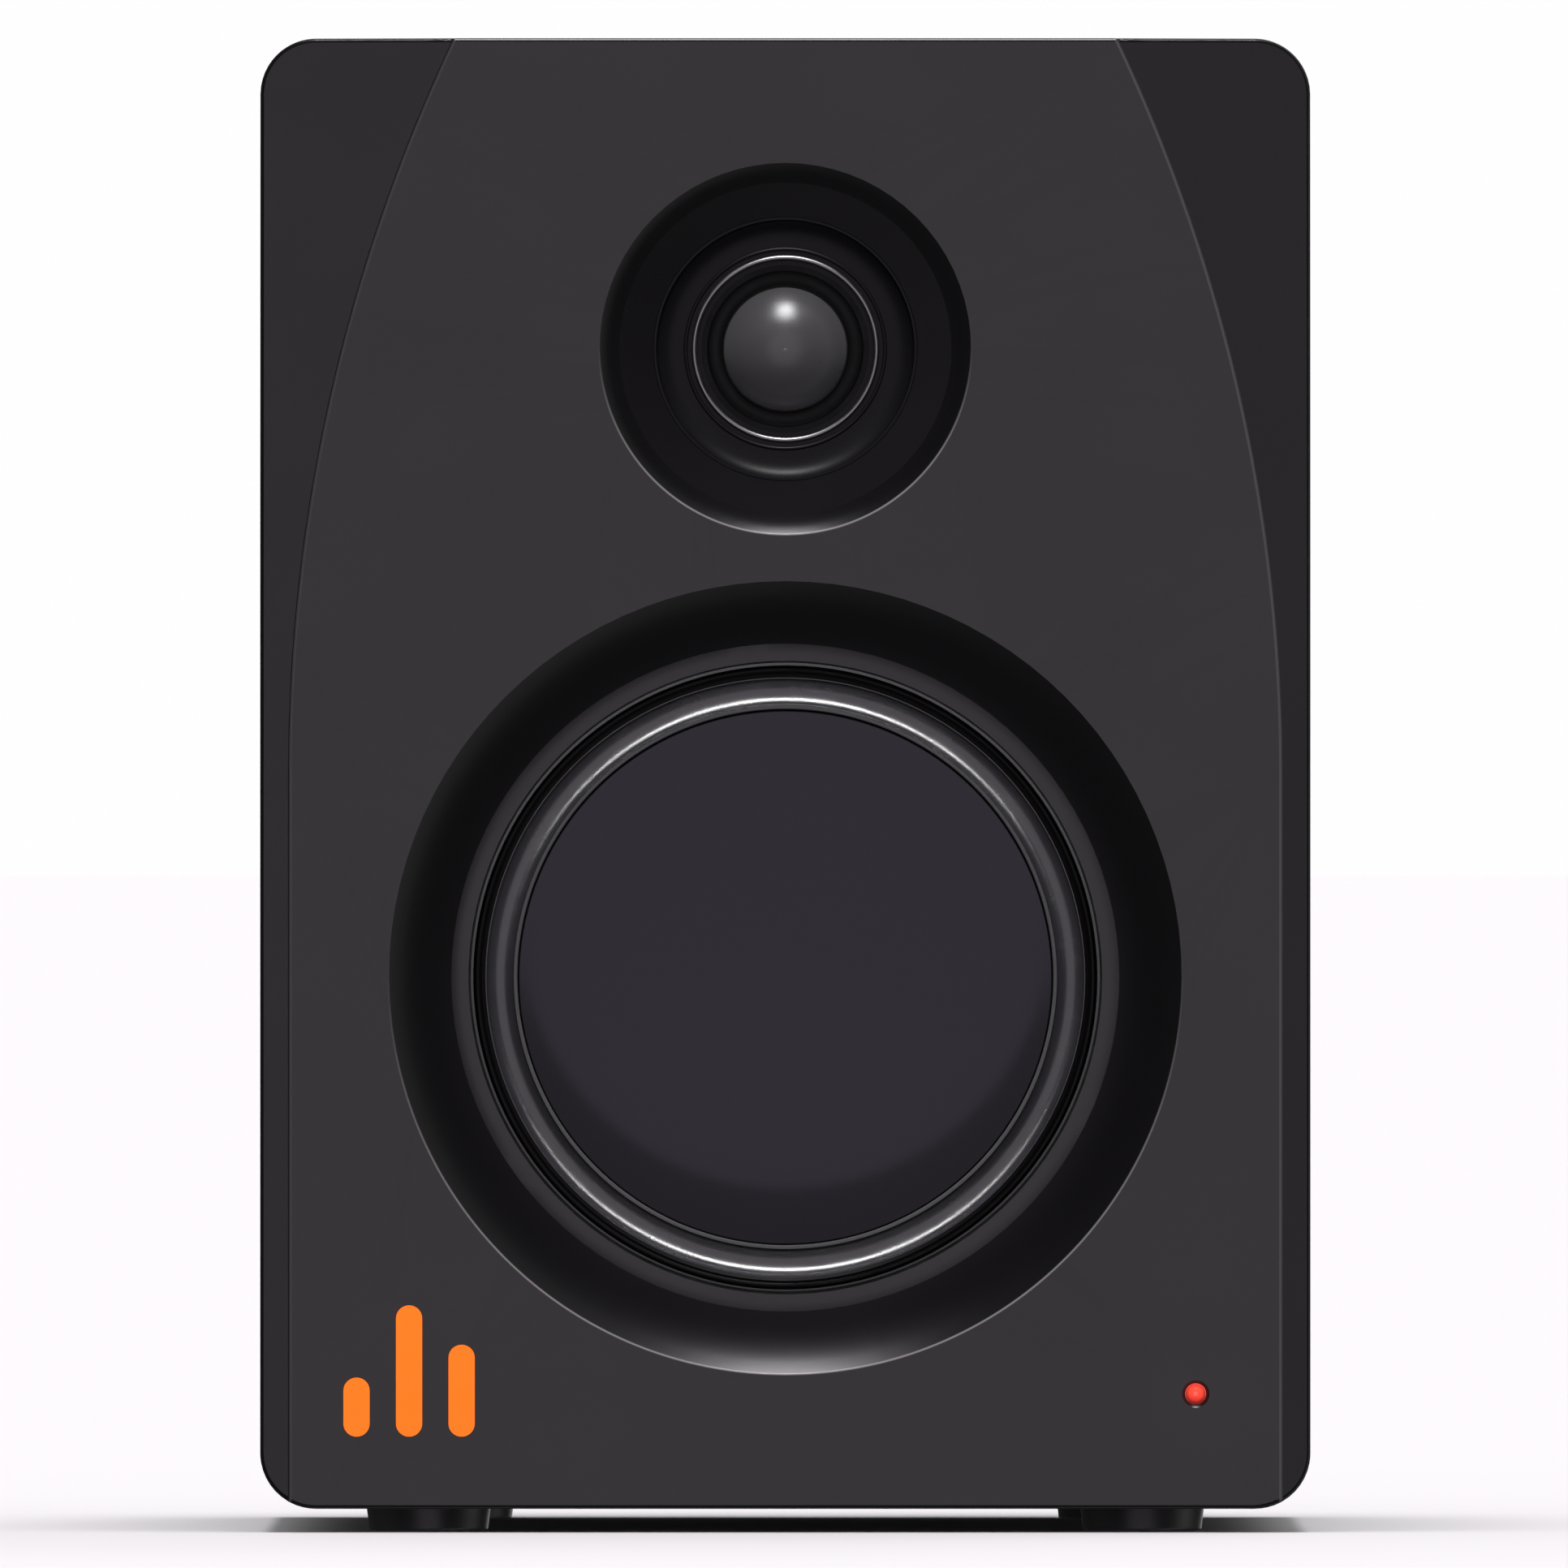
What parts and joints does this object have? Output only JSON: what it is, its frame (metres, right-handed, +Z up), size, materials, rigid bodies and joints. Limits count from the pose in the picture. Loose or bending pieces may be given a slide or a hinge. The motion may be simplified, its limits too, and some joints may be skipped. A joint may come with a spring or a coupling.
{
  "type": "bookshelf speaker",
  "caption": "Small powered two-way speaker cabinet with moulded front, dome tweeter, flat-cap woofer, rear port, amplifier plate and working controls.",
  "frame": {"origin": "under the middle of the whole speaker, at the height of the surface its feet stand on", "axes": "+Z up, -Y out of the front, +X to the right seen from the front"},
  "size_m": [0.16, 0.193, 0.2276],
  "materials": {
    "mdf": "raw fibreboard",
    "painted_mdf": "black paint",
    "vinyl": "fine grained vinyl",
    "foot_rubber": "matte",
    "fascia_abs": "satin, fine texture",
    "badge_orange": "satin",
    "lamp_red": "diffused",
    "black_plastic": "moulded",
    "basket_steel": "black powder coat",
    "ring_rubber": "satin",
    "surround_rubber": "smooth, a little glossy",
    "cap_plastic": "matte",
    "cone_plastic": "matte",
    "coil_copper": "lacquered winding",
    "spider_cloth": "resin-dipped cloth",
    "motor_steel": "zinc plated",
    "ferrite": "ferrite",
    "screw_steel": "black zinc",
    "faceplate_plastic": "satin",
    "ring_chrome": "bright plated plastic",
    "dome_silk": "coated silk",
    "port_plastic": "fine texture",
    "plate_metal": "black powder coat",
    "sink_aluminium": "black anodised",
    "nut_steel": "bright plated",
    "knob_plastic": "satin",
    "rca_metal": "nickel plated",
    "rca_white": "moulded",
    "pin_brass": "nickel-bright brass",
    "fuse_glass": "clear tube, plated caps",
    "board_green": "solder mask",
    "transformer_tape": "wound core under tape",
    "lead_pvc": "PVC insulation",
    "foam": "open-cell foam"
  },
  "bodies": {
    "cabinet": {"cabinet_side_panels": "mdf", "cabinet_end_panels": "mdf", "front_board": "mdf", "back_panel": "painted_mdf", "vinyl_wrap": "vinyl", "rubber_feet": "foot_rubber", "front_fascia": "fascia_abs", "front_badge": "badge_orange", "power_lamp": "lamp_red", "lamp_holder": "black_plastic", "woofer_basket": "basket_steel", "woofer_trim_ring": "ring_rubber", "woofer_surround": "surround_rubber", "woofer_spider": "spider_cloth", "woofer_top_plate": "motor_steel", "woofer_magnet": "ferrite", "woofer_yoke": "motor_steel", "woofer_terminals": "black_plastic", "woofer_screws": "screw_steel", "tweeter_faceplate": "faceplate_plastic", "tweeter_trim_ring": "ring_chrome", "tweeter_screws": "screw_steel", "tweeter_surround": "dome_silk", "tweeter_pole_disc": "motor_steel", "tweeter_magnet": "ferrite", "tweeter_yoke": "motor_steel", "tweeter_rear_chamber": "black_plastic", "port_tube": "port_plastic", "plate_gasket": "ring_rubber", "amplifier_plate": "plate_metal", "plate_screws": "screw_steel", "heat_sink": "sink_aluminium", "volume_potentiometer": "motor_steel", "control_nuts": "nut_steel", "trim_switch": "motor_steel", "rca_shell": "rca_metal", "rca_insulator": "rca_white", "jack_socket": "black_plastic", "switch_housing": "black_plastic", "mains_inlet": "black_plastic", "inlet_pins": "pin_brass", "circuit_boards": "board_green", "board_standoffs": "pin_brass", "board_parts": "black_plastic", "transformer": "transformer_tape", "transformer_clamp": "screw_steel", "internal_leads": "lead_pvc", "damping_pads": "foam"},
    "woofer_diaphragm": {"woofer_dust_cap": "cap_plastic", "woofer_cone": "cone_plastic", "woofer_voice_coil": "coil_copper"},
    "tweeter_diaphragm": {"tweeter_dome": "dome_silk", "tweeter_voice_coil": "coil_copper"},
    "volume_control": {"volume_knob": "knob_plastic", "volume_shaft": "motor_steel"},
    "trim_slider": {"trim_lever": "black_plastic"},
    "power_rocker": {"switch_rocker": "knob_plastic"},
    "fuse_carrier": {"fuse_drawer": "black_plastic", "fuse": "fuse_glass"}
  },
  "joints": [
    {"name": "woofer_travel", "type": "slide", "parent": "cabinet", "child": "woofer_diaphragm", "axis": [0, 1, 0], "range_m": [-0.002, 0.002], "stiffness_N_per_m": 900, "deforming": ["woofer_surround", "woofer_spider"]},
    {"name": "tweeter_travel", "type": "slide", "parent": "cabinet", "child": "tweeter_diaphragm", "axis": [0, 1, 0], "range_m": [-0.00025, 0.00025], "stiffness_N_per_m": 20, "deforming": ["tweeter_surround"]},
    {"name": "volume_turn", "type": "hinge", "parent": "cabinet", "child": "volume_control", "pos_m": [0.034, 0.0843, 0.122], "axis": [0, -1, 0], "range_deg": [-150, 150]},
    {"name": "trim_slide", "type": "slide", "parent": "cabinet", "child": "trim_slider", "axis": [1, 0, 0], "range_m": [-0.002, 0.002]},
    {"name": "power_rock", "type": "hinge", "parent": "cabinet", "child": "power_rocker", "pos_m": [0.038, 0.0828, 0.046], "axis": [1, 0, 0], "range_deg": [-24, 0]},
    {"name": "fuse_pull", "type": "slide", "parent": "cabinet", "child": "fuse_carrier", "axis": [0, 1, 0], "range_m": [0, 0.018]}
  ]
}
